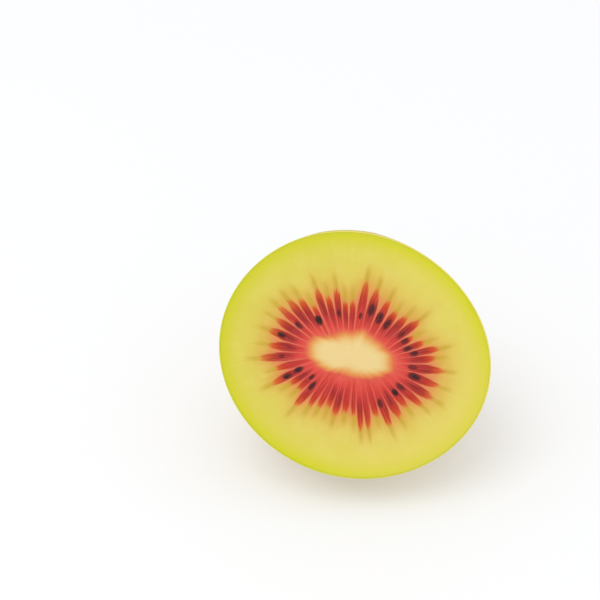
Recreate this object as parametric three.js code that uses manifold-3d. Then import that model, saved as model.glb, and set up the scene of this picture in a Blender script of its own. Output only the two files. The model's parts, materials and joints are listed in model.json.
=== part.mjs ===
// One half of a red-fleshed kiwi fruit, cut across its middle and lying on its rounded side, with the
// cut face looking forwards and up. Millimetres, +Z up, and -Y is the front. The origin is at the
// middle of the footprint, on the surface that the fruit lies on.

import * as THREE from 'three';
import { mergeVertices } from 'three/addons/utils/BufferGeometryUtils.js';
import Module from 'manifold-3d';

// Driving dimensions
const FACE_LONG = 50; // longest diameter of the cut face
const FACE_SHORT = 44.6; // shortest diameter, across the longest
const FACE_TURN = 20.7; // degrees that the longest diameter leans down to the right
const HALF_LENGTH = 33; // from the cut face to the stem end
const FULLNESS = 2.2; // 2 is an ellipse, and more keeps the side full for longer
const FACE_LIFT = 33; // degrees that the cut face looks up from level
const SPOT_DEPTH = 0.5; // how far the skin is pressed flat where the fruit rests

// The stem end: a shallow dimple with the low corky scar of the stalk in it
const DIMPLE_DEPTH = 1.1;
const DIMPLE_RADIUS = 4.5;
const SCAR_RADIUS = 2.4;
const SCAR_HEIGHT = 0.6;
const SCAR_ROUNDING = 0.35;

// How finely the round surfaces are faceted
const SIDE_STEPS = 24;
const ROUND_STEPS = 64;

const SKIN_COLOUR = 0xb8a050;
const SKIN_ROUGHNESS = 0.5;

const wasm = await Module();
wasm.setup();

// A closed three.js geometry as a solid that can be cut.
function solidOf(geometry) {
  const bare = geometry.clone();
  bare.deleteAttribute('normal');
  bare.deleteAttribute('uv');
  const merged = mergeVertices(bare, 1e-4);
  const vertProperties = new Float32Array(merged.attributes.position.array);
  const triVerts = new Uint32Array(merged.index.array);
  return new wasm.Manifold(new wasm.Mesh({ numProp: 3, vertProperties, triVerts }));
}

// The cut solid as a three.js geometry again.
function geometryOf(solid) {
  const { vertProperties, triVerts } = solid.getMesh();
  const geometry = new THREE.BufferGeometry();
  geometry.setAttribute('position', new THREE.BufferAttribute(new Float32Array(vertProperties), 3));
  geometry.setIndex(new THREE.BufferAttribute(new Uint32Array(triVerts), 1));
  geometry.computeVertexNormals();
  return geometry;
}

// How far the skin lies behind the cut face, at a radius from the fruit's long axis.
function depthAt(radius) {
  const share = Math.min(1, radius / (FACE_LONG / 2));
  const side = HALF_LENGTH * (1 - share ** 2) ** (1 / FULLNESS);
  return side - DIMPLE_DEPTH * Math.exp(-((radius / DIMPLE_RADIUS) ** 2));
}

// Half the fruit's outline, from the middle of the stem scar out to the knife's edge and back along
// the cut face to its middle. x is the radius, and y is minus the depth behind the cut face.
function outline() {
  const scarFoot = -depthAt(SCAR_RADIUS);
  const scarTop = scarFoot - SCAR_HEIGHT;
  const points = [
    new THREE.Vector2(0, scarTop),
    new THREE.Vector2(SCAR_RADIUS - SCAR_ROUNDING, scarTop),
    new THREE.Vector2(SCAR_RADIUS, scarTop + SCAR_ROUNDING),
    new THREE.Vector2(SCAR_RADIUS, scarFoot),
  ];
  const start = Math.asin(SCAR_RADIUS / (FACE_LONG / 2));
  for (let step = 1; step < SIDE_STEPS; step += 1) {
    const angle = start + (Math.PI / 2 - start) * (step / SIDE_STEPS);
    const radius = (FACE_LONG / 2) * Math.sin(angle);
    points.push(new THREE.Vector2(radius, -depthAt(radius)));
  }
  points.push(new THREE.Vector2(FACE_LONG / 2, 0));
  points.push(new THREE.Vector2(FACE_LONG / 4, 0));
  points.push(new THREE.Vector2(0, 0));
  return points;
}

// The half fruit, turned as it lies: its long axis points back and down, away from the cut face.
function fruit() {
  const geometry = new THREE.LatheGeometry(outline(), ROUND_STEPS);
  geometry.scale(1, 1, FACE_SHORT / FACE_LONG);
  geometry.rotateY(THREE.MathUtils.degToRad(-FACE_TURN));
  geometry.rotateX(THREE.MathUtils.degToRad(180 - FACE_LIFT));
  return geometry;
}

// Everything below the surface that the fruit rests on, which presses its underside flat.
function table(top) {
  const side = 4 * FACE_LONG;
  const block = new THREE.BoxGeometry(side, side, side);
  block.translate(0, 0, top - side / 2);
  return block;
}

function kiwiHalf() {
  const whole = fruit();
  whole.computeBoundingBox();
  const spot = whole.boundingBox.min.z + SPOT_DEPTH;
  const geometry = geometryOf(solidOf(whole).subtract(solidOf(table(spot))));
  geometry.computeBoundingBox();
  const middle = geometry.boundingBox.getCenter(new THREE.Vector3());
  geometry.translate(-middle.x, -middle.y, -spot);
  const material = new THREE.MeshStandardMaterial({
    color: SKIN_COLOUR,
    roughness: SKIN_ROUGHNESS,
    metalness: 0,
  });
  const mesh = new THREE.Mesh(geometry, material);
  mesh.name = 'kiwi_half';
  return mesh;
}

const group = new THREE.Group();
group.add(kiwiHalf());

export default group;
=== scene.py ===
"""One half of a red-fleshed kiwi fruit, cut across its middle and lying on its rounded side."""

import json
import math
import random

import bmesh
import bpy
from mathutils import Matrix, Quaternion, Vector, noise


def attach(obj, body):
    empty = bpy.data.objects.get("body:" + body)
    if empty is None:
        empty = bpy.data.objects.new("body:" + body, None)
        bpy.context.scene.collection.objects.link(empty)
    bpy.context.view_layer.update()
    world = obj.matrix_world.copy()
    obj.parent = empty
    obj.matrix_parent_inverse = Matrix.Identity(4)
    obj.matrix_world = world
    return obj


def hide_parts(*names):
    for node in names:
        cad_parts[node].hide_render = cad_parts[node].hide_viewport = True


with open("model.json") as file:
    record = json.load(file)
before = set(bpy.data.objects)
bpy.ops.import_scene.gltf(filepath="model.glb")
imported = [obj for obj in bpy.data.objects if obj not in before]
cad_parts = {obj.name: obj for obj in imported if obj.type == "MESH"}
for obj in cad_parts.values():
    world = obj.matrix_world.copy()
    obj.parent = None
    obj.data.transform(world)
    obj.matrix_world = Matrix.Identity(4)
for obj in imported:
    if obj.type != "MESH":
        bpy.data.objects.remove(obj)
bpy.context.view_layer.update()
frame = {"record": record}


# The flesh is one soft, juicy piece that grew inside the skin and is fixed to it all round. The knife
# opened it across the fruit's middle: a cream core, red rays with the seeds between thin pale walls,
# and a wide band of yellow flesh that turns lime green under the skin.
FACE_LONG = 0.050
FACE_SHORT = 0.0446
FACE_LEAN = math.radians(-20.7)
HALF_LENGTH = 0.033
FULLNESS = 2.2
DIMPLE_DEPTH = 0.0011
DIMPLE_RADIUS = 0.0045
SKIN_THICKNESS = 0.00025
UNEVEN_IN_THREES = 0.0035
UNEVEN_IN_FOURS = 0.0032
SWELL_HEIGHT = 0.00035
SWELLS_PER_METRE = 75
RIPPLE_HEIGHT = 0.00010
RIPPLES_PER_METRE = 190
EVEN_BESIDE_CUT = 0.006
RAY_START_MIDDLE = Vector((-0.00028, -0.00033, 0))
RAY_START_LONG = 0.0159
RAY_START_SHORT = 0.0081
RAY_START_LEAN = math.radians(-12)
COLUMNS_IN_RAY = 12
BACK_ROWS = 12
RAY_SINK = 0.00010
CORE_DOME = 0.00012
FACE_WAVE = 0.00005
FACE_WAVES_PER_METRE = 350
SEED_SHADE_RISE = 0.00006
SUNK = -1

# Each ray: degrees round the face from the right, and how far it reaches from the core to the skin.
RAYS = [
    (3, 0.42), (10.5, 0.475), (18.5, 0.365), (27.5, 0.29), (36, 0.45), (44.5, 0.385), (53, 0.365),
    (61.5, 0.425), (71, 0.485), (79, 0.535), (87, 0.33), (92.5, 0.32), (98.5, 0.44), (105.5, 0.38),
    (112, 0.475), (119.5, 0.33), (126, 0.45), (133.5, 0.50), (142, 0.52), (151, 0.46), (161.5, 0.48),
    (173.5, 0.45), (184.5, 0.57), (194.5, 0.415), (204.5, 0.52), (211, 0.365), (218.5, 0.34),
    (226, 0.50), (233.5, 0.41), (240, 0.365), (246.5, 0.33), (252.5, 0.395), (260, 0.34),
    (267, 0.355), (271.5, 0.485), (277, 0.475), (284, 0.365), (291.5, 0.49), (300.5, 0.44),
    (309.5, 0.37), (319.5, 0.45), (329, 0.51), (340, 0.49), (352.5, 0.50),
]

# The cream core's edge: degrees round its middle and its radius there.
CORE_EDGE = [
    (0, 0.0070), (20, 0.0056), (40, 0.0049), (55, 0.0048), (67, 0.0052), (78, 0.0047), (92, 0.0043),
    (112, 0.0047), (130, 0.0050), (142, 0.0060), (152, 0.0077), (162, 0.0082), (176, 0.0079),
    (190, 0.0064), (204, 0.0053), (216, 0.0041), (230, 0.0033), (250, 0.0030), (270, 0.0032),
    (286, 0.0035), (300, 0.0040), (316, 0.0049), (330, 0.0061), (342, 0.0073), (352, 0.0071),
]

# Each seed: degrees round the face, share of the way out, length, and how far it stands out of the
# flesh. A sunk seed lies under the surface, and only darkens the flesh above it.
SEEDS = [
    (121, 0.175, 0.0020, 0.00022), (310, 0.185, 0.0018, 0.00020), (161.7, 0.345, 0.0016, 0.00010),
    (202.5, 0.20, 0.0018, 0.00009), (203.9, 0.345, 0.0019, 0.00013), (341, 0.22, 0.0025, 0.00010),
    (352.6, 0.185, 0.0018, 0.00004), (10.4, 0.22, 0.0019, SUNK), (18.5, 0.175, 0.0018, SUNK),
    (36, 0.215, 0.0019, SUNK), (53, 0.22, 0.0021, 0.00005), (62, 0.24, 0.0023, 0.00006),
    (71, 0.28, 0.0026, SUNK), (78.5, 0.20, 0.0015, SUNK), (98.8, 0.21, 0.0015, 0.00003),
    (143, 0.24, 0.0021, SUNK), (225, 0.22, 0.0022, SUNK), (28, 0.20, 0.0018, SUNK),
    (183.5, 0.32, 0.0014, SUNK),
    (218, 0.14, 0.0014, SUNK), (291, 0.25, 0.0021, SUNK), (319.5, 0.17, 0.0024, SUNK),
]

face = next(mount for mount in frame["record"]["mounts"] if mount["name"] == "cut_face")
outward = Vector(face["axis"]).normalized()
sideward = Vector((1, 0, 0))
upward = outward.cross(sideward)
lying = Matrix((sideward, upward, outward)).transposed().to_4x4()
lying.translation = Vector(face["pos_m"])


def ellipse(angle, length, width, lean):
    """A point of a leaning ellipse in the plane of the cut face, by its parameter."""
    x = length / 2 * math.cos(angle - lean)
    y = width / 2 * math.sin(angle - lean)
    return Vector((x * math.cos(lean) - y * math.sin(lean), x * math.sin(lean) + y * math.cos(lean), 0))


def rim(angle):
    """The fruit's outline at the cut, which is an ellipse with a grown unevenness."""
    uneven = 1 + UNEVEN_IN_THREES * math.cos(3 * angle + 0.9)
    uneven += UNEVEN_IN_FOURS * math.cos(4 * angle + 0.5)
    return ellipse(angle, FACE_LONG, FACE_SHORT, FACE_LEAN) * uneven


def depth_at(share):
    """How far the skin lies behind the cut face, at a share of the way from the long axis to the rim."""
    side = HALF_LENGTH * max(0.0, 1 - share**2) ** (1 / FULLNESS)
    return side - DIMPLE_DEPTH * math.exp(-((share * FACE_LONG / 2 / DIMPLE_RADIUS) ** 2))


def smooth(value, low, high):
    """0 up to low, 1 from high on, with a smooth way between."""
    share = min(1.0, max(0.0, (value - low) / (high - low)))
    return share * share * (3 - 2 * share)


def between(low, high, share):
    """The value at a share of the way from low to high."""
    return low + (high - low) * share


def body_point(angle, share, inset):
    """A point of the rounded body, in from the skin's outside by about the inset."""
    point = rim(angle) * share * (1 - 2 * inset / FACE_LONG)
    point.z = -depth_at(share) * (1 - inset / HALF_LENGTH)
    swell = noise.noise(point * SWELLS_PER_METRE) * SWELL_HEIGHT
    swell += noise.noise(point * RIPPLES_PER_METRE) * RIPPLE_HEIGHT
    outside = Vector((point.x, point.y, 0.5 * point.z)).normalized()
    return point + outside * swell * smooth(-point.z, 0.0, EVEN_BESIDE_CUT)


def face_point(angle, along):
    """A point of the cut face: along is -1 in the core's middle, 0 where rays start, 1 at the skin."""
    edge = RAY_START_MIDDLE + ellipse(angle, RAY_START_LONG, RAY_START_SHORT, RAY_START_LEAN)
    if along < 0:
        return RAY_START_MIDDLE.lerp(edge, 1 + along)
    return edge.lerp(rim(angle) * (1 - 2 * SKIN_THICKNESS / FACE_LONG), along)


def past_core(point):
    """How far a point of the cut face lies outside the core's edge, and less than 0 inside it."""
    away = point - RAY_START_MIDDLE
    degrees = math.degrees(math.atan2(away.y, away.x)) % 360
    for (low, near), (high, far) in zip(CORE_EDGE, CORE_EDGE[1:] + [(360, CORE_EDGE[0][1])]):
        if degrees <= high:
            return away.xy.length - between(near, far, smooth(degrees, low, high))
    return away.xy.length


def spun(line, turns):
    """A line of points, given as (radius, height), spun a full turn about Z."""
    mesh = bmesh.new()
    points = [mesh.verts.new((radius, 0, height)) for radius, height in line]
    edges = [mesh.edges.new(pair) for pair in zip(points, points[1:])]
    bmesh.ops.spin(mesh, geom=points + edges, cent=(0, 0, 0), axis=(0, 0, 1), angle=math.tau,
                   steps=turns, use_merge=True)
    return mesh


def settled(mesh, floor):
    """Lays the fruit down where it rests, and presses what would be below the floor flat on it."""
    mesh.transform(lying)
    for vertex in mesh.verts:
        vertex.co.z = max(vertex.co.z, floor)
    bmesh.ops.remove_doubles(mesh, verts=mesh.verts, dist=1e-7)
    bmesh.ops.recalc_face_normals(mesh, faces=mesh.faces)


def piece(name, mesh, look):
    """Makes a finished bmesh an object that rides with the fruit and stands for it."""
    data = bpy.data.meshes.new(name)
    mesh.to_mesh(data)
    mesh.free()
    data.polygons.foreach_set("use_smooth", [True] * len(data.polygons))
    made = bpy.data.objects.new(name, data)
    bpy.context.collection.objects.link(made)
    data.materials.append(look.material)
    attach(made, "root")
    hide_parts("kiwi_half")
    return made


def tint(red, painted_glow_beside_cut, blue):
    """A colour from its 0 to 255 screen values."""
    def linear(value):
        value = value / 255
        return value / 12.92 if value <= 0.04045 else ((value + 0.055) / 1.055) ** 2.4
    return (linear(red), linear(painted_glow_beside_cut), linear(blue), 1.0)


class Signal:
    """A node's output. Arithmetic on it adds the Math nodes that work it out."""

    def __init__(self, look, socket):
        self.look = look
        self.socket = socket

    def math(self, operation, first, second):
        return self.look.node("ShaderNodeMath", {"operation": operation}, {0: first, 1: second})

    def __add__(self, other):
        return self.math("ADD", self, other)

    def __sub__(self, other):
        return self.math("SUBTRACT", self, other)

    def __rsub__(self, other):
        return self.math("SUBTRACT", other, self)

    def __mul__(self, other):
        return self.math("MULTIPLY", self, other)

    def __truediv__(self, other):
        return self.math("DIVIDE", self, other)

    __radd__ = __add__
    __rmul__ = __mul__


class Look:
    """One material: its Principled shader and the nodes that feed it."""

    def __init__(self, name, **steady):
        self.material = bpy.data.materials.new(name)
        self.material.use_nodes = True
        self.nodes = self.material.node_tree.nodes
        self.links = self.material.node_tree.links
        self.shader = self.nodes["Principled BSDF"]
        for socket, value in steady.items():
            self.shader.inputs[socket.replace("_", " ")].default_value = value

    def node(self, kind, settings, sockets, out=0):
        """Adds a node: its settings first, then a value or a link for each socket."""
        made = self.nodes.new(kind)
        for key, value in settings.items():
            if key == "stops":
                while len(made.color_ramp.elements) < len(value):
                    made.color_ramp.elements.new(1.0)
                for stop, (place, colour) in zip(made.color_ramp.elements, value):
                    stop.position = place
                    stop.color = colour
            else:
                setattr(made, key, value)
        for key, value in sockets.items():
            self.feed(made.inputs[key], value)
        return Signal(self, made.outputs[out])

    def feed(self, socket, value):
        if isinstance(value, Signal):
            self.links.new(value.socket, socket)
        else:
            socket.default_value = value

    def paint(self, **sockets):
        for socket, value in sockets.items():
            self.feed(self.shader.inputs[socket.replace("_", " ")], value)

    def attribute(self, name, out="Fac"):
        return self.node("ShaderNodeAttribute", {"attribute_name": name}, {}, out)

    def step(self, value, low, high):
        """0 up to low and 1 from high on, or the other way round if low is above high."""
        return self.node("ShaderNodeMapRange", {"interpolation_type": "SMOOTHSTEP"},
                         {"Value": value, "From Min": low, "From Max": high})

    def mix(self, share, first, second):
        return self.node("ShaderNodeMix", {"data_type": "RGBA"}, {0: share, 6: first, 7: second}, 2)

    def ramp(self, share, stops):
        return self.node("ShaderNodeValToRGB", {"stops": stops}, {0: share})

    def mapped(self, vector, scale, turn=(0, 0, 0)):
        return self.node("ShaderNodeMapping", {}, {"Vector": vector, "Scale": scale, "Rotation": turn})

    def grain(self, vector, scale, detail=2.0, rough=0.5):
        return self.node("ShaderNodeTexNoise", {},
                         {"Vector": vector, "Scale": scale, "Detail": detail, "Roughness": rough})

    def bump(self, height, distance, strength=1.0):
        return self.node("ShaderNodeBump", {},
                         {"Height": height, "Distance": distance, "Strength": strength})


walls = []
for number, (middle, reach) in enumerate(RAYS):
    before = RAYS[number - 1][0] - (360 if number == 0 else 0)
    walls.append((before + middle) / 2)
walls.append(walls[0] + 360)

face_rows = [-1, -0.9, -0.75, -0.6, -0.48, -0.38, -0.3, -0.24, -0.18, -0.13, -0.09, -0.05, -0.02]
face_rows += [0.009 * row for row in range(68)]
face_rows += [0.62 + 0.02 * row for row in range(18)]
face_rows += [0.975, 0.985, 0.993, 1]
back_rows = [math.cos(math.pi / 2 * row / BACK_ROWS) for row in range(1, BACK_ROWS + 1)]
columns = COLUMNS_IN_RAY * len(RAYS)
row_count = len(face_rows) + len(back_rows)

# A flat disc of rows and columns is spun, and each of its vertices is then moved to its place.
flesh_mesh = spun([(row / row_count, 0) for row in range(row_count)], columns)
layers = {name: flesh_mesh.verts.layers.float.new(name)
          for name in ("along", "gap", "off", "reach", "glow", "core", "tone", "seed")}
fibre_layer = flesh_mesh.verts.layers.float_vector.new("fibre")
FAR_FROM_CORE = 20
random.seed(31)
ray_tones = [random.random() for ray in RAYS]


def seed_axes(angle, along):
    """Where a seed lies in the face, and the way out along its ray."""
    place = face_point(math.radians(angle), along)
    out = face_point(math.radians(angle), along + 0.02) - place
    return place, out.normalized()


seed_places = [(seed_axes(angle, along), length, height) for angle, along, length, height in SEEDS]

for vertex in flesh_mesh.verts:
    row = round(vertex.co.xy.length * row_count)
    column = round(math.atan2(vertex.co.y, vertex.co.x) / math.tau * columns) % columns
    ray = column // COLUMNS_IN_RAY
    share = column % COLUMNS_IN_RAY / COLUMNS_IN_RAY
    middle, reach = RAYS[ray]
    if share < 0.5:
        degrees = between(walls[ray], middle, share * 2)
        wall = walls[ray]
        neighbour = ray - 1
        glow = between((RAYS[neighbour][1] + reach) / 2, reach, share * 2)
    else:
        degrees = between(middle, walls[ray + 1], share * 2 - 1)
        wall = walls[ray + 1]
        neighbour = (ray + 1) % len(RAYS)
        glow = between(reach, (RAYS[neighbour][1] + reach) / 2, share * 2 - 1)
    tone = ray_tones[ray]
    if share == 0:
        reach = glow
        tone = (tone + ray_tones[neighbour]) / 2
    angle = math.radians(degrees)
    if row >= len(face_rows):
        vertex[layers["along"]] = 1
        vertex[layers["glow"]] = glow
        vertex[layers["core"]] = FAR_FROM_CORE
        vertex[fibre_layer] = Vector((math.cos(angle), math.sin(angle), 1))
        vertex.co = body_point(angle, back_rows[row - len(face_rows)], SKIN_THICKNESS + 0.00001)
        continue
    along = face_rows[row]
    point = face_point(angle, along)
    wall_point = face_point(math.radians(wall), along)
    gap = (point - wall_point).length * 1000
    off = (point - face_point(math.radians(middle), along)).length * 1000
    core = past_core(point)
    shade = 0.0
    if 0 < along < 0.5:
        for (place, out), length, height in seed_places:
            away = point - place
            if away.length < length:
                lengthwise = away.dot(out) / (length * 0.5)
                across = away.cross(out).length / (length * 0.27)
                depth = 0.65 if height == SUNK else 1
                shade = max(shade, depth * (1 - smooth(math.hypot(lengthwise, across), 0.4, 1.5)))
    vertex[layers["along"]] = along
    vertex[layers["gap"]] = gap
    vertex[layers["off"]] = off
    vertex[layers["core"]] = core * 1000
    vertex[layers["reach"]] = reach
    vertex[layers["glow"]] = glow
    vertex[layers["tone"]] = tone
    vertex[layers["seed"]] = shade
    vertex[fibre_layer] = Vector((math.cos(angle), math.sin(angle), along))
    inside = smooth(gap, 0.1, 0.42) * smooth(along, 0.03, 0.14) * (1 - smooth(along, reach - 0.08, reach))
    height = CORE_DOME * (1 - smooth(core, -0.0025, 0.0002)) - RAY_SINK * inside
    height += shade * SEED_SHADE_RISE + FACE_WAVE * noise.noise(point * FACE_WAVES_PER_METRE)
    vertex.co = point + Vector((0, 0, height))

# The cut face fills the baking map, and the hidden underside of the flesh is small in its corner.
FACE_MAP_WIDTH = 0.053
BACK_MAP_WIDTH = 0.6
FACE_SKIN_DEPTH = 0.0002

flat_uv = flesh_mesh.loops.layers.uv.new("OFBake")
for polygon in flesh_mesh.faces:
    for loop in polygon.loops:
        flat = loop.vert.co
        if polygon.calc_center_median().z > -FACE_SKIN_DEPTH:
            loop[flat_uv].uv = (0.5 + flat.x / FACE_MAP_WIDTH, 0.5 + flat.y / FACE_MAP_WIDTH)
        else:
            loop[flat_uv].uv = (0.05 + flat.x / BACK_MAP_WIDTH, 0.05 + flat.y / BACK_MAP_WIDTH)
settled(flesh_mesh, SKIN_THICKNESS)

flesh = Look("wet_kiwi_flesh", Roughness=0.42, Subsurface_Weight=0.08, Subsurface_Scale=0.0008,
             Subsurface_Radius=(1.0, 0.6, 0.25), Specular_IOR_Level=0.3)
along = flesh.attribute("along")
gap = flesh.attribute("gap")
off = flesh.attribute("off")
reach = flesh.attribute("reach")
core = flesh.attribute("core")
glow = flesh.attribute("glow")
tone = flesh.attribute("tone")
seed_shade = flesh.attribute("seed")
fibre = flesh.attribute("fibre", "Vector")
rightness = flesh.node("ShaderNodeSeparateXYZ", {}, {"Vector": fibre}, 0)
upwardness = flesh.node("ShaderNodeSeparateXYZ", {}, {"Vector": fibre}, 1)
flesh_place = flesh.node("ShaderNodeTexCoord", {}, {}, "Object")

streaks = flesh.grain(flesh.mapped(fibre, (34, 34, 3)), 1.0, 2.0)
strands = flesh.grain(flesh.mapped(fibre, (70, 70, 5)), 1.0, 2.0)
clouds = flesh.grain(flesh_place, 260.0, 3.0)
blotches = flesh.grain(flesh_place, 900.0, 2.0)

# The flesh itself, from the rays' start to the skin. The blush follows the length of the rays by it.
blushed = flesh.step(along, 0.05, 0.3) * flesh.step(along, 0.85, 0.6)
shifted = along + (0.43 - glow) * 0.75 * blushed + (clouds - 0.5) * 0.05
flesh_colour = flesh.ramp(shifted, [
    (0.00, tint(222, 118, 74)), (0.07, tint(220, 104, 76)), (0.14, tint(218, 104, 82)),
    (0.24, tint(218, 116, 84)), (0.32, tint(222, 132, 82)), (0.385, tint(222, 145, 81)),
    (0.44, tint(219, 164, 74)), (0.52, tint(219, 181, 81)), (0.60, tint(221, 196, 87)),
    (0.70, tint(221, 204, 91)), (0.82, tint(221, 208, 85)), (0.90, tint(216, 208, 66)),
    (0.955, tint(213, 210, 38)), (1.00, tint(205, 206, 30)),
])
vivid = flesh.step(upwardness, 0.1, -0.75)
flesh_colour = flesh.mix(vivid * flesh.step(along, 0.4, 0.2) * 0.8, flesh_colour, tint(218, 74, 66))

# The rays: dark wedges of red flesh between the pale walls, with blunt orange tips.
wander = (streaks - 0.5) * 0.32
ray_share = along / reach
narrow = flesh.step(ray_share, 0.5, 1.0) * 0.3 + (tone - 0.5) * 0.24
clear_of_wall = flesh.step(gap + wander - narrow * 0.4, 0.02, 0.20)
inside = clear_of_wall * flesh.step(off + wander + narrow, 1.0, 0.74)
beyond = along - reach - 0.018 + (streaks - 0.5) * 0.09 + (strands - 0.5) * 0.08
tip = flesh.step(beyond + off * off * 0.16, 0.045, -0.045)
ray = inside * tip * flesh.step(core + (strands - 0.5) * 1.2, 0.1, 1.0)
ray_colour = flesh.ramp(ray_share, [
    (0.00, tint(227, 92, 74)), (0.12, tint(229, 76, 66)), (0.24, tint(216, 62, 54)),
    (0.36, tint(196, 50, 46)), (0.50, tint(178, 38, 36)), (0.64, tint(176, 38, 26)),
    (0.78, tint(192, 50, 20)), (0.90, tint(207, 72, 22)), (1.00, tint(215, 104, 34)),
])
bright = flesh.step(tone + (clouds - 0.5) * 0.8, 0.35, 0.95)
ray_colour = flesh.mix(bright * 0.5 * flesh.step(ray_share, 0.95, 0.6), ray_colour, tint(207, 54, 40))
maroon = flesh.step(gap, 0.28, 0.7) * flesh.step(ray_share, 0.25, 0.45)
maroon = maroon * flesh.step(ray_share, 0.88, 0.62)
maroon = maroon * flesh.step(tone, 0.8, 0.2) * flesh.step(clouds, 0.3, 0.6)
ray_colour = flesh.mix(maroon * 0.6, ray_colour, tint(98, 20, 26))
ray_colour = flesh.mix(flesh.step(strands, 0.52, 0.68) * flesh.step(ray_share, 0.95, 0.5) * 0.45,
                       ray_colour, tint(220, 92, 76))
ray_colour = flesh.mix(flesh.step(strands, 0.48, 0.32) * 0.45, ray_colour, tint(130, 22, 24))
colour = flesh.mix(ray, flesh_colour, ray_colour)

# Past each tip the flesh keeps a narrow olive streak, and the seeds darken what lies over them.
wake = flesh.step(beyond, -0.03, 0.02) * flesh.step(beyond, 0.19, 0.03) * flesh.step(off, 0.7, 0.1)
colour = flesh.mix(wake * (0.6 + streaks * 0.5), colour, tint(198, 162, 42))
patchy = 0.45 + flesh.step(strands * 0.55 + clouds * 0.45, 0.40, 0.56) * 0.5
seed_edge = (streaks - 0.5) * 0.7 + (clouds - 0.5) * 0.7
seed_dark = flesh.step(seed_shade + seed_edge, 0.12, 0.75) * patchy
colour = flesh.mix(seed_dark * flesh.step(seed_shade, 0.0, 0.15), colour, tint(58, 14, 20))

# The cream core has a soft orange edge.
core_colour = flesh.ramp((core + (clouds - 0.5) * 0.6) * 0.2 + 0.8, [
    (0.00, tint(236, 209, 144)), (0.34, tint(235, 208, 142)), (0.52, tint(233, 198, 129)),
    (0.62, tint(231, 183, 110)), (0.72, tint(228, 158, 87)), (0.80, tint(225, 136, 72)),
    (0.90, tint(222, 104, 70)), (1.00, tint(222, 92, 70)),
])
colour = flesh.mix(flesh.step(core, 0.9, 0.1), colour, core_colour)

# Fine fibres run out to the skin, and the left side is greener. The lower right is painted paler and
# creamier: painted light, where the face is lit brighter.
lime_side = flesh.step(rightness - upwardness * 0.6, 0.5, -1.1) * flesh.step(along, 0.3, 0.9)
colour = flesh.mix(lime_side * 0.3, colour, tint(202, 196, 51))
painted_light_lower_right = flesh.step(rightness - upwardness, 0.5, 1.5) * flesh.step(along, 0.55, 0.8)
colour = flesh.mix(painted_light_lower_right * 0.4, colour, tint(230, 210, 104))
pale_fibres = flesh.step(strands, 0.5, 0.75) * flesh.step(along, 0.3, 0.5) * flesh.step(along, 1.0, 0.85)
veils = flesh.step(streaks * 0.3 + clouds * 0.7, 0.42, 0.66) * flesh.step(along, 0.35, 0.6)
colour = flesh.mix(veils * flesh.step(along, 0.98, 0.8) * 0.18, colour, tint(233, 220, 126))
colour = flesh.mix(pale_fibres * 0.08, colour, tint(228, 212, 110))

wet = 0.36 + clouds * 0.12
relief = strands * 0.35 + blotches * 0.25 + clouds * 0.4
flesh.paint(Base_Color=colour, Roughness=wet, Normal=flesh.bump(relief, 0.00012, 0.6))
piece("flesh", flesh_mesh, flesh)


# The seeds are hard, glossy, nearly black drops about 2 mm long. They grew in the rays with their
# points towards the core, and the knife left the ones at the cut lying half out of the flesh.
SEED_WIDTH_SHARE = 0.54
SEED_THICKNESS_SHARE = 0.42
SEED_TAPER = 0.42

seeds_mesh = bmesh.new()
for (place_of, out), length, height in seed_places:
    if height == SUNK:
        continue
    made = bmesh.ops.create_uvsphere(seeds_mesh, u_segments=20, v_segments=12, radius=1)
    for vertex in made["verts"]:
        narrow = 1 - SEED_TAPER * smooth(-vertex.co.x, -0.2, 1.0)
        vertex.co.x *= length / 2
        vertex.co.y *= length / 2 * SEED_WIDTH_SHARE * narrow
        vertex.co.z *= length / 2 * SEED_THICKNESS_SHARE * narrow
    turn = Matrix.Rotation(math.atan2(out.y, out.x), 4, "Z")
    sunk = Vector((0, 0, height - length / 2 * SEED_THICKNESS_SHARE - RAY_SINK * 0.5))
    bmesh.ops.transform(seeds_mesh, matrix=Matrix.Translation(place_of + sunk) @ turn,
                        verts=made["verts"])
settled(seeds_mesh, 0)

seed_look = Look("seed_coat", Roughness=0.45, Specular_IOR_Level=0.3)
seed_place = seed_look.node("ShaderNodeTexCoord", {}, {}, "Object")
dimples = seed_look.grain(seed_place, 3500.0, 2.0)
seed_colour = seed_look.mix(seed_look.step(dimples, 0.35, 0.75), tint(26, 12, 12), tint(70, 26, 20))
seed_look.paint(Base_Color=seed_colour, Roughness=0.36 + dimples * 0.2,
                Normal=seed_look.bump(dimples, 0.00003))
piece("seeds", seeds_mesh, seed_look)


# The skin is a thin, smooth, leathery coat that grew on the flesh. It is golden olive with tan specks
# and small dark pits, and it is puckered round the stem's dimple. Beside the cut it is painted greener,
# a painted glow of light coming through the thin skin from the lime flesh.
SKIN_COLUMNS = 320
SKIN_ROWS = 100
LIP_ROWS = 4
LINING_ROWS = 14
LIP = 0.00007
PUCKER = 0.00013
PUCKER_FOLDS = 17
OUTSIDE_MAP_RADIUS = 0.42
OUTSIDE_MAP_MIDDLE = Vector((0.43, 0.43))
LINING_MAP_RADIUS = 0.06
LINING_MAP_MIDDLE = Vector((0.93, 0.93))
last_row = SKIN_ROWS + LIP_ROWS + LINING_ROWS


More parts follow.
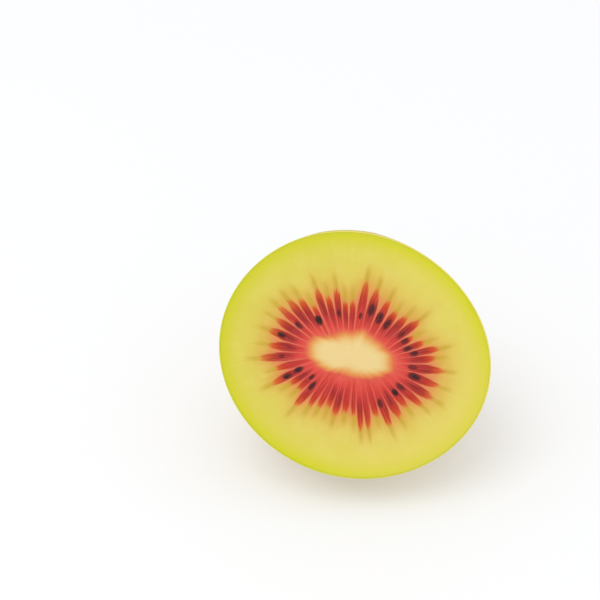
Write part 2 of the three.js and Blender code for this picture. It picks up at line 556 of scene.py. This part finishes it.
def skin_point(angle, row):
    """Rows go from the stem end out to the cut, over its lip and back inside to the stem end."""
    if row <= SKIN_ROWS:
        share = math.sin(math.pi / 2 * row / SKIN_ROWS)
        point = body_point(angle, share, 0)
        radius = share * FACE_LONG / 2
        around = Vector((math.cos(angle), math.sin(angle), radius * 60))
        folds = noise.noise(around * 3.1)
        near_stem = smooth(radius, 0.0022, 0.0036) * (1 - smooth(radius, 0.0045, 0.0105))
        point.z += PUCKER * (folds + 0.4 * math.sin(angle * PUCKER_FOLDS + 3 * folds)) * near_stem
        return point
    if row < SKIN_ROWS + LIP_ROWS:
        turned = math.pi * (row - SKIN_ROWS) / LIP_ROWS
        point = body_point(angle, 1, SKIN_THICKNESS / 2 * (1 - math.cos(turned)))
        point.z += LIP * math.sin(turned)
        return point
    share = math.cos(math.pi / 2 * (row - SKIN_ROWS - LIP_ROWS) / LINING_ROWS)
    return body_point(angle, share, SKIN_THICKNESS)


skin_mesh = spun([(row / last_row, 0) for row in range(last_row + 1)], SKIN_COLUMNS)
skin_uv = skin_mesh.loops.layers.uv.new("OFBake")
outside_edge = (SKIN_ROWS + LIP_ROWS) / last_row
for polygon in skin_mesh.faces:
    is_outside = polygon.calc_center_median().length < outside_edge
    for loop in polygon.loops:
        flat = loop.vert.co.xy
        if is_outside:
            loop[skin_uv].uv = flat * OUTSIDE_MAP_RADIUS / outside_edge + OUTSIDE_MAP_MIDDLE
        else:
            inward = flat.normalized() * (1 - flat.length) / (1 - outside_edge)
            loop[skin_uv].uv = inward * LINING_MAP_RADIUS + LINING_MAP_MIDDLE
back_layer = skin_mesh.verts.layers.float.new("back")
for vertex in skin_mesh.verts:
    row = round(vertex.co.xy.length * last_row)
    vertex.co = skin_point(math.atan2(vertex.co.y, vertex.co.x), row)
    vertex[back_layer] = -vertex.co.z / HALF_LENGTH
settled(skin_mesh, 0)

skin = Look("golden_kiwi_skin", Roughness=0.5, Subsurface_Weight=0.06, Subsurface_Scale=0.0008,
            Specular_IOR_Level=0.4, Sheen_Weight=0.08, Sheen_Roughness=0.5)
back = skin.attribute("back")
skin_place = skin.node("ShaderNodeTexCoord", {}, {}, "Object")
upright = skin.mapped(skin_place, (1, 1, 1), lying.to_3x3().inverted().to_euler())
wide = skin.grain(upright, 45.0, 2.0)
mottle = skin.grain(upright, 190.0, 4.0, 0.6)
lengthwise = skin.grain(skin.mapped(upright, (1, 1, 0.12)), 700.0, 2.0)
leather = skin.grain(upright, 1500.0, 3.0, 0.6)

skin_colour = skin.mix(skin.step(wide, 0.3, 0.7), tint(186, 154, 62), tint(213, 183, 94))
skin_colour = skin.mix(skin.step(mottle, 0.5, 0.8) * 0.35, skin_colour, tint(226, 204, 124))
skin_colour = skin.mix(skin.step(mottle, 0.5, 0.22) * 0.35, skin_colour, tint(160, 126, 44))
skin_colour = skin.mix(skin.step(lengthwise, 0.5, 0.8) * 0.25, skin_colour, tint(156, 124, 50))
skin_colour = skin.mix(skin.step(leather, 0.45, 0.75) * 0.15, skin_colour, tint(226, 200, 120))

# Short curled wrinkles, a little paler than the skin, gather in patches towards the stem end.
crinkle = skin.node("ShaderNodeTexNoise", {},
                    {"Vector": upright, "Scale": 480.0, "Detail": 1.0, "Distortion": 1.6}) - 0.5
curls = skin.step(crinkle * crinkle, 0.0016, 0.0002) * skin.step(back, 0.35, 0.7)
curls = curls * skin.step(mottle, 0.42, 0.6)
skin_colour = skin.mix(curls * 0.4, skin_colour, tint(222, 198, 120))
# Painted glow: beside the cut the skin is painted greener, as light coming through the thin skin from the
# lime flesh.
painted_glow_beside_cut = skin.step(back + (wide - 0.5) * 0.12 + (lengthwise - 0.5) * 0.08, 0.26, 0.0)
skin_colour = skin.mix(painted_glow_beside_cut * 0.8, skin_colour, tint(198, 192, 46))
stem_end = skin.step(back + (mottle - 0.5) * 0.1, 0.86, 1.0)
skin_colour = skin.mix(stem_end * 0.6, skin_colour, tint(146, 106, 44))


def spots(cells, size, share):
    """Small round spots in a share of the cells of a jittered pattern."""
    centre = skin.node("ShaderNodeTexVoronoi", {}, {"Vector": upright, "Scale": cells})
    chosen = skin.node("ShaderNodeTexVoronoi", {}, {"Vector": upright, "Scale": cells}, "Color")
    split = skin.node("ShaderNodeSeparateColor", {}, {0: chosen})
    return skin.step(centre, size, size * 0.5) * skin.step(split, 1 - share, 1.02 - share)


specks = spots(900.0, 0.30, 0.45)
large_specks = spots(430.0, 0.16, 0.3)
pits = spots(380.0, 0.11, 0.28)
skin_colour = skin.mix(specks * 0.3, skin_colour, tint(226, 204, 142))
skin_colour = skin.mix(large_specks * 0.3, skin_colour, tint(230, 208, 150))
skin_colour = skin.mix(pits * 0.6, skin_colour, tint(112, 80, 36))

# The lip that the knife left is lime. At the upper right it is painted creamy, a painted highlight where
# the light catches the cut edge.
cut_edge = skin.step(back, 0.006, 0.0005)
across_skin = skin.node("ShaderNodeSeparateXYZ", {}, {"Vector": skin_place}, 0)
rise = skin.node("ShaderNodeSeparateXYZ", {}, {"Vector": skin_place}, 2)
highlit_upper_right = skin.step(across_skin + rise, 0.030, 0.052)
lip_colour_and_highlight = skin.mix(highlit_upper_right, tint(214, 214, 52), tint(240, 222, 116))
skin_colour = skin.mix(cut_edge * 0.9, skin_colour, lip_colour_and_highlight)
skin_relief = leather * 0.25 + mottle * 0.35 + lengthwise * 0.3
skin_relief = skin_relief + specks * 0.2 + large_specks * 0.2 + curls * 0.5 - pits * 0.5
skin.paint(Base_Color=skin_colour, Roughness=0.42 + mottle * 0.18 + pits * 0.1,
           Normal=skin.bump(skin_relief, 0.00022, 0.7))
piece("skin", skin_mesh, skin)


# The stem scar is the dry, corky button that the stalk left in the dimple when the fruit was picked.
# It grew on the skin, and it is ringed and cracked from its middle outwards.
SCAR_RADIUS = 0.0024
SCAR_HEIGHT = 0.0006
SCAR_RINGS = 22
SCAR_COLUMNS = 96
SCAR_ROOT = 0.0004
CRACKS = 13
CRACK_DEPTH = 0.00016
CRUMB_HEIGHT = 0.00009
CRUMBS_PER_METRE = 2600

foot = -depth_at(SCAR_RADIUS * 2 / FACE_LONG)
scar_line = [(0, SCAR_HEIGHT * 0.6)]
for ring in range(1, SCAR_RINGS + 1):
    share = ring / SCAR_RINGS
    bulge = SCAR_HEIGHT * (1 - share**6) * (0.72 + 0.28 * smooth(share, 0.35, 0.75))
    scar_line.append((SCAR_RADIUS * share, bulge - 0.0001 * share**8))
scar_line += [(SCAR_RADIUS * 0.99, -SCAR_ROOT), (0, -SCAR_ROOT)]
scar_mesh = spun(scar_line, SCAR_COLUMNS)
for vertex in scar_mesh.verts:
    angle = math.atan2(vertex.co.y, vertex.co.x)
    share = vertex.co.xy.length / SCAR_RADIUS
    around = Vector((math.cos(angle), math.sin(angle), 0))
    uneven = 1 + 0.09 * noise.noise(around * 1.3) + 0.03 * noise.noise(around * 6)
    cracks = abs(math.sin(angle * CRACKS / 2 + 2 * noise.noise(around * 2))) ** 6
    vertex.co.xy = vertex.co.xy * uneven
    if vertex.co.z > 0:
        vertex.co.z += CRUMB_HEIGHT * noise.noise(vertex.co * CRUMBS_PER_METRE)
        vertex.co.z -= CRACK_DEPTH * cracks * smooth(share, 0.1, 0.5) * (1 - smooth(share, 0.7, 0.95))
    vertex.co.z = foot - vertex.co.z
settled(scar_mesh, 0)

cork = Look("dry_stem_cork", Roughness=0.85, Specular_IOR_Level=0.2)
cork_place = cork.node("ShaderNodeTexCoord", {}, {}, "Object")
crumbs = cork.grain(cork_place, 1800.0, 4.0, 0.65)
patches = cork.grain(cork_place, 500.0, 2.0)
cork_colour = cork.mix(cork.step(crumbs, 0.3, 0.7), tint(84, 58, 34), tint(150, 116, 74))
cork_colour = cork.mix(cork.step(patches, 0.55, 0.8) * 0.6, cork_colour, tint(60, 40, 26))
cork.paint(Base_Color=cork_colour, Roughness=0.75 + patches * 0.2, Normal=cork.bump(crumbs, 0.0002))
piece("stem_scar", scar_mesh, cork)


# The fruit lies on a plain, matt, white surface that is lit a little from below, under soft light
# from the upper left. The camera stands in front of the cut face and a little above it.
FLOOR_SIZE = 6.0
CAMERA_RISE = math.radians(37.5)
CAMERA_SWING = math.radians(3.5)
CAMERA_ROLL = math.radians(-2.1)
CAMERA_DISTANCE = 0.3035
LENS = 100
SENSOR = 36
LEFT_OF_FACE = 0.00987
ABOVE_FACE = 0.0102

floor_mesh = bmesh.new()
bmesh.ops.create_grid(floor_mesh, x_segments=4, y_segments=4, size=FLOOR_SIZE / 2)
floor_data = bpy.data.meshes.new("floor")
floor_mesh.to_mesh(floor_data)
floor_mesh.free()
floor = bpy.data.objects.new("floor", floor_data)
bpy.context.collection.objects.link(floor)
paper = Look("lit_white_paper", Roughness=0.9, Specular_IOR_Level=0.1, Emission_Color=(1, 1, 1, 1),
             Emission_Strength=0.3)
paper_place = paper.node("ShaderNodeTexCoord", {}, {}, "Object")
paper_tone = paper.grain(paper_place, 3.0, 1.0)
paper.paint(Base_Color=paper.mix(paper_tone, tint(212, 213, 215), tint(215, 216, 218)))
floor_data.materials.append(paper.material)


def lamp(name, azimuth, elevation, distance, size, power):
    """A square soft light that looks at the fruit from a bearing, as the camera views count it."""
    data = bpy.data.lights.new(name, "AREA")
    data.shape = "SQUARE"
    data.size = size
    data.energy = power
    turn, rise = math.radians(azimuth), math.radians(elevation)
    away = Vector((math.sin(turn) * math.cos(rise), -math.cos(turn) * math.cos(rise), math.sin(rise)))
    made = bpy.data.objects.new(name, data)
    made.location = lying.translation + away * distance
    made.rotation_euler = away.to_track_quat("Z", "Y").to_euler()
    bpy.context.collection.objects.link(made)


lamp("key_light", -50, 66, 0.9, 0.6, 2.0)
lamp("front_light", 28, 40, 1.1, 0.9, 0.35)

SKY_STRENGTH = 0.84

world = bpy.data.worlds.new("studio")
bpy.context.scene.world = world
world.use_nodes = True
background = world.node_tree.nodes["Background"]
background.inputs["Color"].default_value = (1.0, 1.0, 1.0, 1.0)
background.inputs["Strength"].default_value = SKY_STRENGTH
bpy.context.scene.view_settings.view_transform = "Standard"

camera_data = bpy.data.cameras.new("camera")
camera_data.lens = LENS
camera_data.sensor_width = SENSOR
camera_data.clip_start = 0.01
camera = bpy.data.objects.new("camera", camera_data)
bpy.context.collection.objects.link(camera)
towards_camera = Vector((math.sin(CAMERA_SWING) * math.cos(CAMERA_RISE),
                         -math.cos(CAMERA_SWING) * math.cos(CAMERA_RISE), math.sin(CAMERA_RISE)))
rolled = towards_camera.to_track_quat("Z", "Y") @ Quaternion((0, 0, 1), CAMERA_ROLL)
camera.rotation_euler = rolled.to_euler()
camera_right = camera.rotation_euler.to_matrix() @ Vector((1, 0, 0))
camera_up = camera.rotation_euler.to_matrix() @ Vector((0, 1, 0))
aim = lying.translation - camera_right * LEFT_OF_FACE + camera_up * ABOVE_FACE
camera.location = aim + towards_camera * CAMERA_DISTANCE
bpy.context.scene.camera = camera
